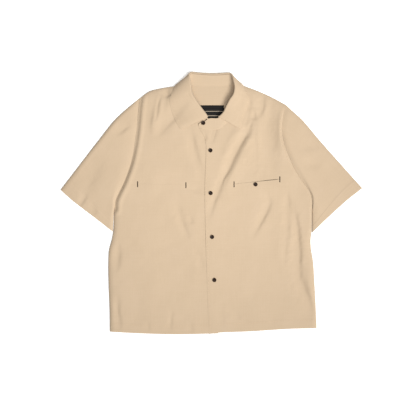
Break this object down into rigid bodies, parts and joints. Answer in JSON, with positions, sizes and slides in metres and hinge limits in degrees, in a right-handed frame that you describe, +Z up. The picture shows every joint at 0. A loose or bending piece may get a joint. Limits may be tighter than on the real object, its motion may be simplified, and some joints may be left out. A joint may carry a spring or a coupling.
{
  "type": "short-sleeve button-up shirt",
  "caption": "Boxy short-sleeve shirt in plain shirting, laid flat with its front up: turned-down collar on a stand, buttoned front, and a slit pocket with bar tacks on each side of the chest.",
  "frame": {"origin": "on the table, under the middle of the shirt's outline", "axes": "+Z up from the table through the front, +Y from the hem to the collar, +X to the wearer's left, from one sleeve to the other"},
  "size_m": [0.8588, 0.747, 0.0277],
  "materials": {
    "shirting": "matte",
    "label": "satin",
    "buttons": "satin",
    "tack_thread": "satin"
  },
  "bodies": {
    "root": {"back_panel": "shirting", "front_right": "shirting", "front_left": "shirting", "sleeve_right": "shirting", "sleeve_left": "shirting", "collar_stand": "shirting", "collar_leaf": "shirting", "pocket_bag_right": "shirting", "pocket_bag_left": "shirting", "neck_label": "label", "button_front_1": "buttons", "button_front_2": "buttons", "button_front_3": "buttons", "button_front_4": "buttons", "button_pocket": "buttons", "button_neck": "buttons", "bar_tack_right_1": "tack_thread", "bar_tack_right_2": "tack_thread", "bar_tack_left_1": "tack_thread", "bar_tack_left_2": "tack_thread"}
  },
  "joints": []
}
